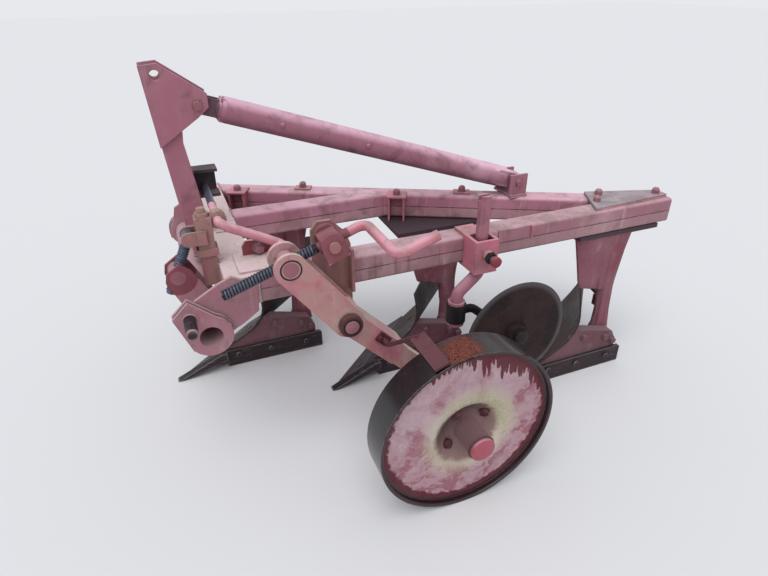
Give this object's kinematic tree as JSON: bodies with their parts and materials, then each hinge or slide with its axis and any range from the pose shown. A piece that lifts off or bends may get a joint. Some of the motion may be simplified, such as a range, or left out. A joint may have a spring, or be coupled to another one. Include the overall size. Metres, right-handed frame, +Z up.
{
  "type": "mounted moldboard plough",
  "caption": "Mounted moldboard plough with a three-point hitch, angled beams, curved moldboards, a screw-set depth wheel and a rolling disc coulter.",
  "frame": {"origin": "middle of the footprint, on the ground under the beams", "axes": "+X to the rear, +Y to the side the furrow slice is turned to, +Z up"},
  "size_m": [2.1642, 1.7225, 1.367],
  "materials": {
    "faded_pink_paint": "chalky, sun-bleached",
    "red_paint": "matt, scuffed",
    "dusty_paint": "matt, dusty",
    "greased_steel": "dark, greasy",
    "worn_iron": "dark, matt",
    "bright_steel": "soil-polished edge",
    "wheel_iron": "faded paint over rust"
  },
  "bodies": {
    "frame": {"main_beam": "faded_pink_paint", "side_beam": "faded_pink_paint", "middle_beam": "faded_pink_paint", "rear_gusset": "faded_pink_paint", "leg_clamps": "faded_pink_paint", "headstock_box": "dusty_paint", "headstock_cheeks": "faded_pink_paint", "headstock_post": "faded_pink_paint", "mast_plates": "faded_pink_paint", "mast_post": "faded_pink_paint", "crank_bracket": "greased_steel", "lateral_crank": "greased_steel", "brace_tube": "faded_pink_paint", "brace_pins": "red_paint", "brace_bracket": "faded_pink_paint", "depth_bracket": "faded_pink_paint", "coulter_clamp": "faded_pink_paint", "coulter_shank": "faded_pink_paint", "leg_1": "faded_pink_paint", "frog_1": "dusty_paint", "moldboard_1": "worn_iron", "share_1": "bright_steel", "point_1": "bright_steel", "landside_1": "bright_steel", "leg_2": "faded_pink_paint", "frog_2": "dusty_paint", "moldboard_2": "worn_iron", "share_2": "bright_steel", "point_2": "bright_steel", "landside_2": "bright_steel", "leg_3": "faded_pink_paint", "frog_3": "dusty_paint", "moldboard_3": "worn_iron", "share_3": "bright_steel", "point_3": "bright_steel", "landside_3": "bright_steel"},
    "hitch_shaft": {"cross_shaft": "faded_pink_paint"},
    "shaft_nut": {"tilt_nut": "red_paint"},
    "shaft_screw": {"tilt_spindle": "greased_steel"},
    "depth_screw_body": {"depth_screw": "greased_steel"},
    "wheel_arm_body": {"wheel_arm": "faded_pink_paint", "wheel_scraper": "wheel_iron"},
    "arm_nut": {"depth_nut": "faded_pink_paint"},
    "depth_wheel": {"wheel": "wheel_iron", "hub_cap": "red_paint"},
    "coulter_fork": {"coulter_arm": "faded_pink_paint"},
    "coulter_blade": {"coulter_disc": "worn_iron"}
  },
  "joints": [
    {"name": "cross_shaft_turn", "type": "hinge", "parent": "frame", "child": "hitch_shaft", "pos_m": [-0.916, 0.135, 0.607], "axis": [0, 1, 0], "range_deg": [-6, 6]},
    {"name": "shaft_screw_swing", "type": "hinge", "parent": "frame", "child": "shaft_screw", "pos_m": [-0.924, -0.135, 0.868], "axis": [0, 1, 0], "range_deg": [-5.03, 5.03]},
    {"name": "shaft_nut_turn", "type": "hinge", "parent": "hitch_shaft", "child": "shaft_nut", "pos_m": [-0.98, -0.135, 0.748], "axis": [0, 1, 0], "range_deg": [-11.03, 11.03]},
    {"name": "depth_swing", "type": "hinge", "parent": "frame", "child": "wheel_arm_body", "pos_m": [-0.483, -0.378, 0.6], "axis": [0, 1, 0], "range_deg": [-34, 6]},
    {"name": "depth_screw_swing", "type": "hinge", "parent": "frame", "child": "depth_screw_body", "pos_m": [-0.518, -0.378, 0.882], "axis": [0, 1, 0], "range_deg": [-19.33, 3.82]},
    {"name": "depth_nut_turn", "type": "hinge", "parent": "wheel_arm_body", "child": "arm_nut", "pos_m": [-0.659, -0.378, 0.833], "axis": [0, 1, 0], "range_deg": [-3.18, 15.67]},
    {"name": "wheel_spin", "type": "hinge", "parent": "wheel_arm_body", "child": "depth_wheel", "pos_m": [-0.203, -0.7275, 0.315], "axis": [0, 1, 0], "continuous": true},
    {"name": "coulter_swivel", "type": "hinge", "parent": "frame", "child": "coulter_fork", "pos_m": [-0.025, -0.339, 0.48], "axis": [0, 0, 1], "range_deg": [-14, 2]},
    {"name": "coulter_spin", "type": "hinge", "parent": "coulter_fork", "child": "coulter_blade", "pos_m": [0.213, -0.41, 0.365], "axis": [0, 1, 0], "continuous": true}
  ],
  "couplings": [
    {"joint": "shaft_screw_swing", "follows": "cross_shaft_turn", "ratio": -0.75434},
    {"joint": "shaft_nut_turn", "follows": "cross_shaft_turn", "ratio": -1.7543},
    {"joint": "depth_screw_swing", "follows": "depth_swing", "ratio": 0.55376},
    {"joint": "depth_nut_turn", "follows": "depth_swing", "ratio": -0.44624}
  ]
}
